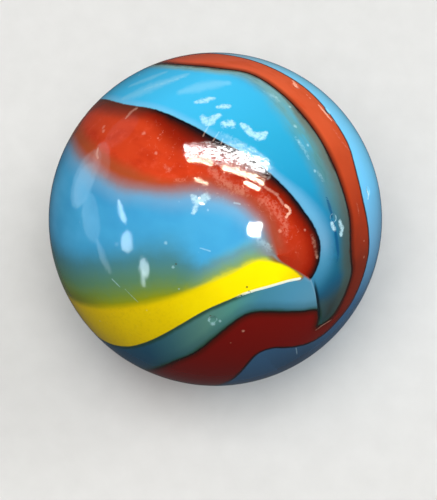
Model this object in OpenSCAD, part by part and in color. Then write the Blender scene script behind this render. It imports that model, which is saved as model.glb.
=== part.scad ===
// A glass marble. One solid ball of sky-blue glass, with one yellow and two red ribbons
// fused flush into its skin. The ribbons swirl from the near seam, where the hot glass was
// sheared off, over the ball to the far seam opposite it.

/* [Ball] */
// Diameter of the ball
ball_d = 16; // [12:0.5:25]

/* [Seams] */
// Tilt of the near seam from the top of the ball, in degrees
seam_tilt = 69; // [0:1:90]
// Bearing of the near seam round the ball, in degrees from +X
seam_bearing = -50; // [-180:5:180]
// Depth of the crease that the shears left across each seam
crease_depth = 0.1; // [0.05:0.01:0.2]
// Width of the round tool that forms the crease
crease_w = 0.15; // [0.1:0.05:0.4]
// How many times longer the crease is than one left by a straight tool
crease_stretch = 1.26; // [1.1:0.02:1.6]

/* [Ribbons] */
// Width of the olive and dark shades beside the ribbons, in degrees of the ball
shade_w = 4; // [2:0.5:8]

/* [Wear] */
// Width across each pit where the ball was struck
pit_w = 0.45; // [0.3:0.05:0.8]
// Depth of those pits
pit_depth = 0.05; // [0.03:0.01:0.12]

/* [Colours] */
// Colour of the base glass
base_colour = "#40A6DB"; // color
// Colour of the lane below the yellow ribbon
teal_colour = "#3F7F8C"; // color
// Colour of the two red ribbons
red_colour = "#D03A14"; // color
// Colour of the long red ribbon's darker end
maroon_colour = "#7A1610"; // color
// Colour of the yellow ribbon
yellow_colour = "#F2DC00"; // color
// Colour where the yellow ribbon thins out over the blue
olive_colour = "#6F8A4A"; // color
// Colour of the dark edge of the wide red ribbon and of the creases
dark_colour = "#2A2A38"; // color
// Colour of the bruised glass in the pits
pit_colour = "#C9E6F2"; // color

/* [Hidden] */
ball_r = ball_d / 2;

// Facets of the round forms, and steps along a ribbon from one station to the next
ball_facets = 76;
small_facets = 32;
bend_facets = 360;
steps = 2;

// The crease runs out where its bent tool leaves the ball. The tool reaches past both ends.
crease_l = 2 * crease_stretch * sqrt(2 * ball_r * crease_depth);
bend_r = ball_r / (1 - 1 / crease_stretch ^ 2);
tool_l = 1.5 * crease_l;

// The blocks that part the colours span these shares of the ball's radius
block_floor = 0.85;
block_ceiling = 1.25;

// A ribbon is a row of stations. Each station holds a point on the ribbon's left edge, then
// one on its right edge, as seen from outside. A point is two angles in degrees: how far it
// lies from the near seam, and how far round that seam, anticlockwise from the side nearest
// the top of the ball.
wide_red = [
    [[13, -3], [13, -7]],
    [[18, 5], [17, -22]],
    [[23, 10], [24, -26]],
    [[27, 12], [30, -23]],
    [[32, 10], [36, -19]],
    [[39, 6], [42, -16]],
    [[46, 6], [48, -13]],
    [[52, 8], [55, -10]],
    [[60, 14], [62, -7]],
    [[69, 24], [70, -3]],
    [[79, 28], [80, 0]],
    [[95, 31], [95, 4]],
    [[112, 32], [110, 9]],
    [[130, 32], [130, 11]],
    [[147, 37], [147, 11]],
    [[164, 28], [157, -4]],
    [[167, -10], [157, -10]],
];

yellow = [
    [[16, 8], [16, 5]],
    [[19, 20], [22, 10]],
    [[24, 34], [28, 16]],
    [[29, 43], [33, 22]],
    [[34, 51], [37, 33]],
    [[41, 61], [42, 43]],
    [[49, 72], [50, 54]],
    [[60, 84], [60, 63]],
    [[72, 93], [72, 71]],
    [[86, 99], [86, 79]],
    [[102, 104], [102, 87]],
    [[120, 111], [120, 96]],
    [[140, 121], [140, 107]],
    [[157, 138], [157, 122]],
    [[171, 170], [171, 160]],
];

// The long red ribbon starts at the far seam, turns back round the near one and returns
// over the ball to join the end of the wide red ribbon.
long_red = [
    [[172, 175], [172, 185]],
    [[158, 164], [158, 182]],
    [[140, 155], [140, 178]],
    [[120, 145], [120, 171]],
    [[100, 133], [100, 161]],
    [[80, 118], [80, 149]],
    [[66, 107], [66, 139]],
    [[54, 97], [53, 130]],
    [[45, 90], [43, 124]],
    [[37, 79], [34, 115]],
    [[31, 68], [28, 107]],
    [[27, 61], [24, 105]],
    [[22, 58], [20, 111]],
    [[14, 59], [18, 125]],
    [[7, 64], [17, 145]],
    [[1.5, 110], [17, 152]],
    [[5, 164], [17, 158]],
    [[9, 162], [17, 166]],
    [[10, 180], [17, 182]],
    [[11, 207], [17, 203]],
    [[13, 250], [19, 223]],
    [[17, 272], [22, 245]],
    [[20, 288], [28, 266]],
    [[25, 298], [34, 283]],
    [[32, 304], [40, 293]],
    [[41, 311], [49, 299]],
    [[52, 316], [58, 301]],
    [[64, 320], [68, 305]],
    [[78, 324], [80, 309]],
    [[90, 328], [90, 314]],
    [[99, 336], [100, 319]],
    [[110, 342], [110, 324]],
    [[121, 343], [121, 327]],
    [[134, 341], [134, 326]],
    [[148, 344], [150, 322]],
    [[156, 353], [163, 330]],
    [[157, 359], [167, 355]],
];

// The station at which the long ribbon turns from maroon to red
maroon_end = 18;

// The lane between the yellow and the long red, by stations of the same kind. Its sides lie
// under those ribbons, which cover them.
teal_lane = [
    [[12, 160], [14, -5]],
    [[13, 115], [17, 6]],
    [[18, 85], [20, 15]],
    [[25, 83], [27, 26]],
    [[36, 97], [36, 43]],
    [[45, 106], [43, 55]],
    [[54, 113], [54, 68]],
    [[66, 123], [66, 78]],
    [[80, 133], [80, 86]],
    [[100, 147], [100, 94]],
    [[120, 158], [120, 103]],
    [[140, 166], [140, 114]],
    [[158, 173], [157, 130]],
    [[172, 178], [171, 165]],
];

// The direction of the crease across each seam and how far its middle lies from the seam, and
// the pits, by the same angles
crease_turn = -10;
crease_aside = 1.5;
pits = [[38, 66], [59, 17], [45, -73], [71, -54], [82, -46], [31, -40]];

function on_ball(angles) =
    [sin(angles[0]) * cos(angles[1]), sin(angles[0]) * sin(angles[1]), cos(angles[0])];

function unit(v) = v / norm(v);

function spline(a, b, c, d, t) =
    (2 * b + (c - a) * t + (2 * a - 5 * b + 4 * c - d) * t ^ 2 + (3 * b - 3 * c + d - a) * t ^ 3) / 2;

// One edge of a ribbon as unit vectors, on a smooth curve through its stations
function edge_curve(ribbon, edge) =
    let(
        p = [for (station = ribbon) on_ball(station[edge])],
        last = len(p) - 1
    )
    [
        for (k = [0:last * steps])
            let(
                i = min(floor(k / steps), last - 1),
                t = k / steps - i
            )
            unit(spline(p[max(0, i - 1)], p[i], p[i + 1], p[min(last, i + 2)], t))
    ];

// A curve that runs shade_w outside a ribbon's right edge
function shade_curve(left, right) =
    [
        for (k = [0:len(right) - 1])
            let(outward = unit(cross(cross(left[k], right[k]), right[k])))
            right[k] * cos(shade_w) + outward * sin(shade_w)
    ];

// A block with radial sides that stands through the skin of the ball between two curves
module curve_block(left, right) {
    last = len(left) - 1;
    low = ball_r * block_floor;
    high = ball_r * block_ceiling;
    points = [
        for (k = [0:last])
            each [left[k] * low, right[k] * low, right[k] * high, left[k] * high]
    ];
    walls = [
        for (k = [0:last - 1], side = [0:3])
            let(a = 4 * k + side, b = 4 * k + (side + 1) % 4)
            each [[a, b, b + 4], [a, b + 4, a + 4]]
    ];
    ends = [[3, 2, 1, 0], [for (side = [0:3]) 4 * last + side]];
    polyhedron(points, concat(walls, ends), convexity = 10);
}

module ribbon_block(ribbon) {
    curve_block(edge_curve(ribbon, 0), edge_curve(ribbon, 1));
}

// The block of a ribbon from one station to another
module part_block(ribbon, first, last) {
    left = edge_curve(ribbon, 0);
    right = edge_curve(ribbon, 1);
    curve_block(
        [for (k = [first * steps:last * steps]) left[k]],
        [for (k = [first * steps:last * steps]) right[k]]
    );
}

module lane_block(lane) {
    curve_block([for (station = lane) on_ball(station[0])], [for (station = lane) on_ball(station[1])]);
}

// The shade beside a ribbon starts under the ribbon, which covers it up to its edge
module shade_block(ribbon) {
    left = edge_curve(ribbon, 0);
    right = edge_curve(ribbon, 1);
    middle = [for (k = [0:len(left) - 1]) unit(left[k] + right[k])];
    curve_block(middle, shade_curve(left, right));
}

// Turns what is drawn about +Z so that it lies about the near seam
module at_seam() {
    rotate([0, seam_tilt, seam_bearing]) rotate([0, 0, 180]) children();
}

module ball() {
    sphere(ball_r, $fn = ball_facets);
}

module red_blocks() {
    at_seam() {
        ribbon_block(wide_red);
        ribbon_block(long_red);
    }
}

module yellow_block() {
    at_seam() ribbon_block(yellow);
}

module shade_blocks() {
    at_seam() {
        shade_block(wide_red);
        shade_block(yellow);
    }
}

module base_field() {
    color(base_colour) difference() {
        ball();
        red_blocks();
        yellow_block();
        shade_blocks();
        at_seam() lane_block(teal_lane);
    }
}

module teal_field() {
    color(teal_colour) difference() {
        intersection() {
            ball();
            at_seam() lane_block(teal_lane);
        }
        red_blocks();
        yellow_block();
    }
}

module red_field() {
    color(red_colour) intersection() {
        ball();
        at_seam() {
            ribbon_block(wide_red);
            part_block(long_red, maroon_end, len(long_red) - 1);
        }
    }
}

module maroon_field() {
    color(maroon_colour) intersection() {
        ball();
        at_seam() part_block(long_red, 0, maroon_end);
    }
}

module yellow_field() {
    color(yellow_colour) difference() {
        intersection() {
            ball();
            yellow_block();
        }
        red_blocks();
    }
}

module dark_field() {
    color(dark_colour) difference() {
        intersection() {
            ball();
            at_seam() shade_block(wide_red);
        }
        red_blocks();
    }
}

module olive_field() {
    color(olive_colour) difference() {
        intersection() {
            ball();
            at_seam() shade_block(yellow);
        }
        red_blocks();
        yellow_block();
        at_seam() shade_block(wide_red);
    }
}

// A round bar, bent more gently than the ball, that stands about +Z with its ends hanging
module bent_bar() {
    sweep = tool_l / bend_r * 180 / PI;
    rotate([90, 0, 0]) rotate([0, 0, 90 - sweep / 2])
        rotate_extrude(angle = sweep, $fn = bend_facets)
            translate([bend_r, 0]) circle(d = crease_w, $fn = small_facets);
}

// One crease at each seam
module creases() {
    color(dark_colour) for (far = [0, 180])
        at_seam() rotate([far, 0, crease_turn]) rotate([0, crease_aside, 0])
            translate([0, 0, ball_r - crease_depth + crease_w / 2 - bend_r]) bent_bar();
}

// A pit is a shallow dish: the ball's skin less a small sphere that rests in it
module struck_pits() {
    dish_r = (pit_w ^ 2 / 4 + pit_depth ^ 2) / (2 * pit_depth);
    color(pit_colour) for (pit = pits)
        at_seam() rotate([0, 0, pit[1]]) rotate([0, pit[0], 0])
            translate([0, 0, ball_r + dish_r - pit_depth]) sphere(dish_r, $fn = small_facets);
}

module marble() {
    difference() {
        union() {
            base_field();
            teal_field();
            red_field();
            maroon_field();
            yellow_field();
            dark_field();
            olive_field();
        }
        creases();
        struck_pits();
    }
}

marble();
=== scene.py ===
"""The looks of a glass marble: a sky-blue ball with a yellow and two red ribbons in its skin."""
import math
from types import SimpleNamespace

import bmesh
import bpy
import numpy as np
from mathutils import Matrix, Vector


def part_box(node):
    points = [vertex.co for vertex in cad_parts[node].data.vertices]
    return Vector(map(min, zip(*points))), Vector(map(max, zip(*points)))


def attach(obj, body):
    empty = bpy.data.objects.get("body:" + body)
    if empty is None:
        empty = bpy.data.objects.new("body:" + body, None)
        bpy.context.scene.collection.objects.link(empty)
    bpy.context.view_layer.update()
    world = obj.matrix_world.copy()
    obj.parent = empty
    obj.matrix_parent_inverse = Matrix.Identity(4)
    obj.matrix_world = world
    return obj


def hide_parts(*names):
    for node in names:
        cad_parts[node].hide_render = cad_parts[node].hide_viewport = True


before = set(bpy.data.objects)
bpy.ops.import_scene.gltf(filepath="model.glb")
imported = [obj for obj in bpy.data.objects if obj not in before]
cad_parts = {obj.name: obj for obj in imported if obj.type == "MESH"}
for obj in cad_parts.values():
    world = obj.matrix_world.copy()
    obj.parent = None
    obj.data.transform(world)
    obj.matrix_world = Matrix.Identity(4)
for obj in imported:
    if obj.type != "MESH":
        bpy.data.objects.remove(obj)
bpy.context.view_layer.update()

# The ball, in millimetres, and the turn that carries the near seam's own frame into the part's
MM = 0.001
low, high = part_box("marble")
BALL_R = (high.z - low.z) / 2 / MM
SEAM_TILT = 69
SEAM_BEARING = -50

# The crease across each seam: its direction and how far its middle lies from the seam, in
# degrees, then its depth, its tool's width and how far that tool's bend draws it out
CREASE_TURN = -10
CREASE_ASIDE = 1.5
CREASE_DEPTH = 0.1
CREASE_W = 0.15
CREASE_STRETCH = 1.26
CREASE_L = 2 * CREASE_STRETCH * math.sqrt(2 * BALL_R * CREASE_DEPTH)

# The parting line through both seams, where shades change sides: its direction, and how far
# along it the wide red ribbon's tip lies from the near seam, in mm
PARTING_TURN = -5
WIDE_TIP = 1.86

# The grid of the ball's skin: cells along each side of the cube that it grows from, how far
# they crowd towards the worn side, and the extra cuts where the skin is creased or marked
GRID = 102
CROWDING = 0.3
CROWD_AT = [25, 20]
FINE_CUTS = 3
FINE_MARGIN = 0.06

# A length too small to see, which keeps sums from dividing by nothing
TINY = 1e-12

# Ribbons: stations of [left edge, right edge], each a pair of angles in degrees, from the
# near seam and round it
WIDE_RED = [
    [[13, -3], [13, -7]], [[18, 5], [17, -22]], [[23, 10], [24, -26]],
    [[27, 12], [30, -23]], [[32, 10], [36, -19]], [[39, 6], [42, -16]],
    [[46, 6], [48, -13]], [[52, 8], [55, -10]], [[60, 14], [62, -7]],
    [[69, 24], [70, -3]], [[79, 28], [80, 0]], [[95, 31], [95, 4]],
    [[112, 32], [110, 9]], [[130, 32], [130, 11]], [[147, 37], [147, 11]],
    [[164, 28], [157, -4]], [[167, -10], [157, -10]],
]
YELLOW = [
    [[16, 8], [16, 5]], [[19, 20], [22, 10]], [[24, 34], [28, 16]],
    [[29, 43], [33, 22]], [[34, 51], [37, 33]], [[41, 61], [42, 43]],
    [[49, 72], [50, 54]], [[60, 84], [60, 63]], [[72, 93], [72, 71]],
    [[86, 99], [86, 79]], [[102, 104], [102, 87]], [[120, 111], [120, 96]],
    [[140, 121], [140, 107]], [[157, 138], [157, 122]], [[171, 170], [171, 160]],
]
LONG_RED = [
    [[172, 175], [172, 185]], [[158, 164], [158, 182]], [[140, 155], [140, 178]],
    [[120, 145], [120, 171]], [[100, 133], [100, 161]], [[80, 118], [80, 149]],
    [[66, 107], [66, 139]], [[54, 97], [53, 130]], [[45, 90], [43, 124]],
    [[37, 79], [34, 115]], [[31, 68], [28, 107]], [[27, 61], [24, 105]],
    [[22, 58], [20, 111]], [[14, 59], [18, 125]], [[7, 64], [17, 145]],
    [[1.5, 110], [17, 152]], [[5, 164], [17, 158]], [[9, 162], [17, 166]],
    [[10, 180], [17, 182]], [[11, 207], [17, 203]], [[13, 250], [19, 223]],
    [[17, 272], [22, 245]], [[20, 288], [28, 266]], [[25, 298], [34, 283]],
    [[32, 304], [40, 293]], [[41, 311], [49, 299]], [[52, 316], [58, 301]],
    [[64, 320], [68, 305]], [[78, 324], [80, 309]], [[90, 328], [90, 314]],
    [[99, 336], [100, 319]], [[110, 342], [110, 324]], [[121, 343], [121, 327]],
    [[134, 341], [134, 326]], [[148, 344], [150, 322]], [[156, 353], [163, 330]],
    [[157, 359], [167, 355]],
]
RIBBONS = {"wide": WIDE_RED, "yellow": YELLOW, "long": LONG_RED}
RIBBON_PARTS = ("", "_left", "_right", "_along")
EDGE_STEPS = 8

# How steeply a ribbon's two sides part outside it, and how much farther off, in mm, an edge
# counts as when it is seen from past the other one
SIDE_STEEPNESS = 3
PAST_OTHER_EDGE = 6

# The stretch of the long red ribbon, by shares of its length, that has a strip of its own blue
# on its outer side, and the share in which the strip fades in and out
OUTER_FROM, OUTER_TO, OUTER_FADE = 0.1, 0.94, 0.1

# Pits where the ball was struck: [from seam, round seam]
PITS = [[38, 66], [59, 17], [45, -73], [71, -54], [82, -46], [31, -40]]
PIT_W = 0.45
PIT_DEPTH = 0.05

# How far in from its upper edge the yellow turns olive, in mm
YELLOW_THINNED = 0.12

# The camera: its height in degrees, how far off it stands and its lens in mm, the picture's size
# in pixels, the pixel where the ball's middle falls, and one pixel's width on the ball in mm
CAMERA_ELEVATION = 66
CAMERA_DISTANCE = 130
CAMERA_LENS = 194.67
SENSOR = 36
PICTURE_W, PICTURE_H = 437, 500
BALL_AT = (215.4, 219.3)
PIXEL = 0.046
CLIP_NEAR, CLIP_FAR = 0.005, 20

# Wear and small painted highlights, laid out on the picture as strokes of [x, y, half width] in pixels
# Bright chips, most of them painted highlights where the glass catches the light
CHIPS_AND_GLINTS = [
    [[293, 81, 1.5], [296, 85, 2.6], [298, 88, 1.5]],
    [[319, 105.5, 1.8], [323.5, 110.5, 2.8], [327.5, 115.5, 2.6], [331.5, 120.5, 1.2]],
    [[367.5, 189, 1.2], [368.5, 194, 2.8], [368, 199, 1.2]],
    [[285, 205, 1.6], [290, 211, 2], [286, 217, 1.6]],
]
# Pale scuffs, which also paint small highlights and reflections
SCUFFS_AND_GLINTS = [
    [[196, 102, 3], [204, 100.5, 5], [213, 98, 3]],
    [[218, 107, 3], [223, 106.5, 4], [229, 106, 3]],
    [[203, 117, 4], [208, 122, 6], [213, 119, 5], [219, 115, 3.5]],
    [[225, 124, 5.5], [231, 124, 6]],
    [[242, 125, 3.5], [248, 130, 5], [254, 135, 5], [261, 136, 5.5], [266, 133, 3]],
    [[192, 196, 3], [198, 201, 6], [206, 197, 5]],
    [[196, 206, 4], [193, 213, 2.5]],
    [[332, 223, 2.6], [334, 229, 3.6]],
    [[340, 222, 3], [342, 228, 4.2], [341, 234, 3]],
]
DEEP_STREAMS = [
    [[333, 220, 0.6], [335, 230, 2], [337, 243, 2.8], [338, 255, 1.8], [336, 265, 0.6]],
    [[326, 196, 0.8], [330, 208, 2.6], [333, 218, 0.8]],
]
PALE_STREAMS = [
    [[124, 98, 3], [136, 94, 6], [152, 87, 7], [168, 81, 5], [188, 74, 2]],
    [[180, 92, 3], [196, 88, 6], [214, 84, 6], [228, 83, 3]],
    [[130, 86, 2], [148, 79, 4], [166, 72, 2]],
]
HAZES = [
    [[146, 89, 3], [168, 82, 4], [187, 76, 3]],
    [[212, 170, 7], [228, 184, 10], [244, 192, 8]],
    [[262, 198, 8], [280, 214, 9], [286, 232, 7]],
    [[270, 94, 6], [278, 100, 5]],
    [[296, 138, 3], [303, 148, 4], [309, 158, 3]],
    [[318, 172, 3], [323, 180, 3]],
    [[165, 166, 3], [169, 170, 4]],
    [[222, 134, 4], [238, 142, 5], [254, 150, 4]],
    [[258, 240, 6], [270, 248, 6]],
    [[175, 180, 3], [186, 180, 3]],
    [[334, 130, 2], [343, 143, 2.5], [349, 150, 2]],
    [[357, 203, 2], [359, 215, 2]],
    [[312, 236, 3], [317, 256, 3]],
]
CRAZED = [
    [[148, 128, 12], [168, 150, 20], [190, 178, 18], [222, 190, 12]]
    + [[256, 200, 14], [284, 226, 14], [300, 252, 8]],
]
ROUGH_PLACES = [
    [[196, 150, 9], [235, 156, 15], [258, 166, 13], [266, 174, 6]],
]
SCRATCHES = [
    [[126, 118, 1.6], [131, 112, 2.6], [137, 108, 1.8]],
    [[98, 148, 1.4], [97, 154, 2.2], [98, 158, 1.4]],
    [[203, 136, 0.9], [209, 125, 1.1]],
    [[213, 141, 0.8], [219, 132, 1]],
    [[221, 144, 0.8], [223, 139, 0.8]],
    [[265, 187, 1.6], [277, 195, 2.2]],
    [[278, 197, 1.4], [283, 204, 1.8]],
    [[112, 279, 0.7], [116, 283, 0.8], [120, 287, 0.6]],
    [[125, 289, 0.4], [138, 302, 0.5]],
    [[316, 330, 0.8], [323, 325, 1], [331, 320, 0.8]],
    [[200, 248, 0.8], [210, 251, 1]],
    [[332, 119, 1], [339, 126, 1]],
    [[234, 203, 1], [240, 204, 1]],
    [[296, 348, 0.7], [297, 354, 0.7]],
]

# Round marks, as [x, y, radius] in pixels
FLECKS = [
    [209, 320, 2], [213, 324, 2.8], [220, 321, 1.8], [103.5, 127, 2.6], [103.5, 131, 2.6],
    [144, 133, 2.4], [158, 138, 1.3], [156, 153, 2], [307, 95, 1.5], [310, 98, 1.5],
    [290, 107, 1.8], [276, 97, 2], [295, 126, 2.4], [299, 142, 2], [308, 145, 2],
    [315, 171, 1.8], [364, 241, 1.2], [364, 257, 1.6], [268, 244, 2], [280, 231, 2.4],
    [305, 230, 1.6], [173, 267, 1.8], [179, 289, 1.2], [166, 243, 2], [243, 331, 1.6],
    [139, 75, 2], [208, 210, 1.4], [317, 257, 2],
]
SPECKS = [[210.5, 316, 1.4], [247, 287, 1.6], [249, 291, 1], [176, 264, 1.4]]

# The strokes of each kind of wear and painted highlight, by the name of their field; a round mark is
# a stroke from its middle to its middle
WEAR_AND_HIGHLIGHT_STROKES = {
    "deep": DEEP_STREAMS,
    "pale": PALE_STREAMS,
    "chip_and_glint": CHIPS_AND_GLINTS,
    "scuff_and_glint": SCUFFS_AND_GLINTS,
    "haze": HAZES,
    "scratch": SCRATCHES,
    "fleck": [[mark, mark] for mark in FLECKS],
    "crazed": CRAZED,
    "rough": ROUGH_PLACES,
    "speck": [[mark, mark] for mark in SPECKS],
}

# A stroke is nowhere thinner than this, in mm, and points farther off than this, in radians,
# aren't measured against it
THINNEST_STROKE = 0.005
STROKE_MARGIN = 0.01

# Glints: [one end, other end, width, brightness, colour], in pixels of the picture
WHITE = (1, 1, 1)
CREAM = (1, 0.86, 0.62)
SKY = (0.72, 0.88, 1)
GLINTS = [
    [(185, 148.5), (216, 151), 5.5, 2.0, WHITE],
    [(186, 154.2), (215, 157.6), 3.4, 2.0, WHITE],
    [(213, 150.5), (244, 155.5), 6.5, 2.0, WHITE],
    [(214, 157), (243, 161.6), 4, 2.0, WHITE],
    [(242, 156.5), (270, 165.5), 7, 2.0, WHITE],
    [(243, 163), (264, 170.5), 4.2, 2.0, WHITE],
    [(188, 159.5), (214, 163.5), 2, 1.8, CREAM],
    [(222, 167), (264, 182.5), 3.2, 1.9, CREAM],
    [(244, 182.5), (260, 189.5), 3.2, 1.7, CREAM],
    [(104, 142), (138, 120), 18, 0.006, SKY],
    [(195, 180), (208, 184), 3, 1, CREAM],
    [(248.5, 228.5), (260, 230), 13, 4, WHITE],
    [(118, 199.5), (125.6, 224), 5.4, 0.3, SKY],
    [(128.6, 231), (125.8, 252.5), 12, 0.26, SKY],
    [(116.6, 242), (117.2, 245), 2.4, 0.12, SKY],
    [(143.2, 258), (145.2, 276), 9.4, 0.3, SKY],
    [(142, 270), (143.6, 287), 4, 0.24, SKY],
    [(148.4, 273), (145.6, 279), 3, 0.2, SKY],
    [(98, 144), (106, 178), 14, 0.022, SKY],
    [(84.5, 156), (84.5, 199), 24, 0.02, SKY],
    [(84, 166), (84, 202), 18, 0.02, SKY],
    [(86, 194), (95.5, 243), 17, 0.03, SKY],
    [(96, 240), (110.5, 274), 6, 0.05, SKY],
]

# Soft lights that don't show in the glass: [direction, size in m, level]
SOFT_LIGHTS = {
    "overhead": [(-0.05, -0.22, 0.97), 0.4, 0.8],
    "side": [(0.9, 0.2, 0.35), 0.3, 0.38],
}

# The lamps' distance in m, and the share of their light that the glass mirrors
LAMP_REACH = 0.6
SHINE = 0.02

# How brightly the room lights the ball, how brightly the glass mirrors it, and its tint
ROOM_LEVEL = 0.3
MIRRORED_ROOM_LEVEL = 0.08
ROOM_TINT = (0.95, 0.97, 1.0, 1)

# The floor's half width in m, the size of its grain per m, and the two greys of that grain
FLOOR_HALF = 1.5
FLOOR_GRAIN = 900
FLOOR_GREYS = ("#CBCAC7", "#D3D2CF")

# The glass: how it bends light, its gloss, its roughness where it is whole, the depth of its
# ripples in mm, and the turn and stretch of its finest cracks
IOR = 1.5
GLOSS = 0.3
POLISH = 0.05
RIPPLE_DEPTH = 0.0022
CRACK_GRAIN = {"Rotation": (0, 0, 0.25), "Scale": (0.6, 1.7, 1.3)}

# The blue ground, by how its streams run, and the wisps in it
GROUND_BLUES = {0.3: "#3C99CC", 0.5: "#46A7D6", 0.7: "#56B4E2"}
PALE_WISP = "#93CDEF"
DEEP_WISP = "#2A7DB8"
WISP_STRENGTH = 0.6
PALE_STREAM = "#9ADCF6"
DEEP_STREAM = "#0B4A78"

# The lane and the strip on the wide red ribbon's right, by degrees from the near seam, and the
# lane's end, by mm below the ribbon's tip
BRIGHT_LANE = {0: "#215C72", 17: "#19627F", 30: "#1B78A0", 42: "#1E90BA", 62: "#2CA2CA", 95: "#44C2F2"}
PALE_STRIP = {
    0: "#2F7090", 8: "#357A9A", 13: "#4088AA", 18: "#5094B4", 23: "#6AA0C0",
    34: "#64A8CC", 48: "#62A6CC", 90: "#8CCDEE",
}
LANE_END = {
    0: "#1B6482", 1.0: "#1B5876", 1.45: "#234F66", 1.95: "#33494F", 2.45: "#323A37",
    2.9: "#26281F",
}
LANE_STREAM = "#1A82B4"

# The shade above the yellow ribbon, by how far out, paler near the seam
GREENS = {
    0: "#A09C0C", 0.15: "#8C961C", 0.55: "#738E40", 1.1: "#5B8664", 2.0: "#48838C",
    3.0: "#4195BC",
}
PALE_GREENS = {
    0: "#C8C83C", 0.2: "#A2B254", 0.5: "#82A26A", 1.0: "#729E8A", 1.7: "#6699A2",
    3.0: "#5AB0D2",
}
DARK_OLIVE = "#56602C"
DARK_GREEN = "#24402A"

# The lane below the yellow ribbon, by degrees from the near seam
TEAL_LANE = {
    0: "#5F96AE", 14: "#4C8DAA", 24: "#43839A", 32: "#4F8C82", 40: "#548276",
    52: "#37646C", 62: "#244F66", 75: "#224F6A", 110: "#2C5F78",
}
TEAL_LANE_END = "#2A3634"

# The smoke on the long red ribbon's inner side, by degrees from the near seam
SMOKE_TEALS = {0: "#3E5C58", 25: "#3E5C5C", 42: "#567C7A", 60: "#5F948C", 95: "#8FB0A8"}
SMOKE_GREYS = {0: "#3E4A46", 24: "#465450", 45: "#5E645A", 60: "#6A6C5E"}
SMOKE_BLUE = "#45ACD8"
SMOKE_GREEN = "#3A6A60"
SMOKE_END = "#343F3C"
LOWER_SMOKE = "#2C545C"
DUSK_BROWN = "#402A1E"

# The strip on the long red ribbon's outer side, by shares of the ribbon's length; its dark slate
# stops, up to about halfway along, are painted shade on the ball's lower side
OUTER_STRIP_AND_SHADE = {
    0: "#3F6A90", 0.45: "#35536F", 0.56: "#3E6A92", 0.62: "#70B0D8", 0.68: "#74CEFC",
    0.8: "#84DAFF", 0.86: "#A4D2E8", 1: "#8CC4E0",
}
OUTER_LINE = "#2B2A36"

# The ribbons, by shares of their length
# The yellow deepens from halfway along its length; this is painted shade on the ball's lower left
LEMONS_AND_SHADE = {0: "#EBCB06", 0.1: "#FFEC00", 0.34: "#FFE700", 0.5: "#E8C800", 0.62: "#DDBB04", 1: "#D3B80E"}
LEMON_GRAIN = "#A98A0E"
LEMON_OLIVE = "#9C980E"
# A pale line painted as a highlight along the yellow ribbon's left edge
YELLOW_EDGE_HIGHLIGHT = "#EDF2DC"
JOINT_BROWN = "#8A5C16"
# The long red's maroon stops, up to 0.6 along, are partly deeper glass and partly painted shade on the
# ball's lower side
LONG_REDS_AND_SHADE = {
    0: "#8E1A0E", 0.2: "#6E120C", 0.4: "#70120C", 0.53: "#6A1A0F", 0.6: "#7A2814",
    0.66: "#A6381A", 0.72: "#C84E28", 0.8: "#E05E34", 1: "#E45A3E",
}
LONG_FLOW = "#C63A0C"
LONG_EDGE = "#421409"
LONG_OUTLINE = "#211614"
WIDE_REDS = {
    0: "#9C2C16", 0.14: "#B03217", 0.3: "#BC3012", 0.45: "#C8320B", 0.62: "#D6421C",
    1: "#D04424",
}
WIDE_FLOW = "#B02208"
WIDE_MOTTLE = "#E2583E"
NEAR_BRIM = "#9A4A34"
FAR_BRIM = "#A8502A"

# The smoke off the wide red ribbon's soft side, and its dark edge, by how far in
WIDE_SMOKE = "#807A72"
WIDE_VEIL = "#86A8C4"
WIDE_HALO = "#98766E"
TIP_HALO = "#74604C"
DARK_EDGE = {
    0: "#0E0C12", 0.14: "#131016", 0.27: "#2E100D", 0.5: "#5E1508", 0.9: "#8C1C08",
    2.4: "#B42C0C",
}
FAR_EDGE = "#8A4632"

# The painted shade in the creases and the painted highlight on the near crease's lip, pale wear and
# painted highlights over the blue and over the reds, and the specks
CREASE_SHADE = "#0E1A20"
# A painted highlight on the near crease's lip
CREASE_LIP_HIGHLIGHT = "#A9BCCB"
PALE_WEAR_AND_HIGHLIGHT_BLUE = "#C9F0FA"
PALE_WEAR_AND_HIGHLIGHT_RED = "#FFC8AA"
SPECK_BROWN = "#4A4420"


def camera_axes():
    """Where the camera stands, and its right, up and forward directions."""
    e = math.radians(CAMERA_ELEVATION)
    back = Vector((0, -math.cos(e), math.sin(e)))
    right, up = Vector((1, 0, 0)), Vector((0, math.sin(e), math.cos(e)))
    per_length = CAMERA_LENS / SENSOR * PICTURE_H
    aside = (BALL_AT[0] - PICTURE_W / 2) / per_length
    above = (PICTURE_H / 2 - BALL_AT[1]) / per_length
    place = back * CAMERA_DISTANCE * MM
    target = -(right * aside + up * above) * CAMERA_DISTANCE * MM
    forward = (target - place).normalized()
    right = forward.cross(up).normalized()
    return place, right, right.cross(forward), forward


def sight(pixel):
    """The camera's ray through a pixel, and the ball's outward direction where it lands."""
    place, right, up, forward = camera_axes()
    per_length = CAMERA_LENS / SENSOR * PICTURE_H
    x, y = (pixel[0] - PICTURE_W / 2) / per_length, (PICTURE_H / 2 - pixel[1]) / per_length
    ray = (forward + right * x + up * y).normalized()
    r = BALL_R * MM
    b = ray.dot(place)
    reach = -b - math.sqrt(b * b - (place.length_squared - r * r))
    return ray, (place + ray * reach).normalized()


def mirrored(pixel):
    """The direction from which a lamp shows at that pixel, mirrored by the ball."""
    ray, normal = sight(pixel)
    return (ray - 2 * ray.dot(normal) * normal).normalized()


def on_ball(angles):
    """Unit vectors, in the seam's frame, of rows of [from seam, round seam] in degrees."""
    a = np.radians(np.asarray(angles, float))
    far, turn = a[..., 0], a[..., 1]
    return np.stack([np.sin(far) * np.cos(turn), np.sin(far) * np.sin(turn), np.cos(far)], -1)


def unit(v):
    """Rows of v, each cut or drawn out to a length of 1."""
    return v / np.linalg.norm(v, axis=-1, keepdims=True)


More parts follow.
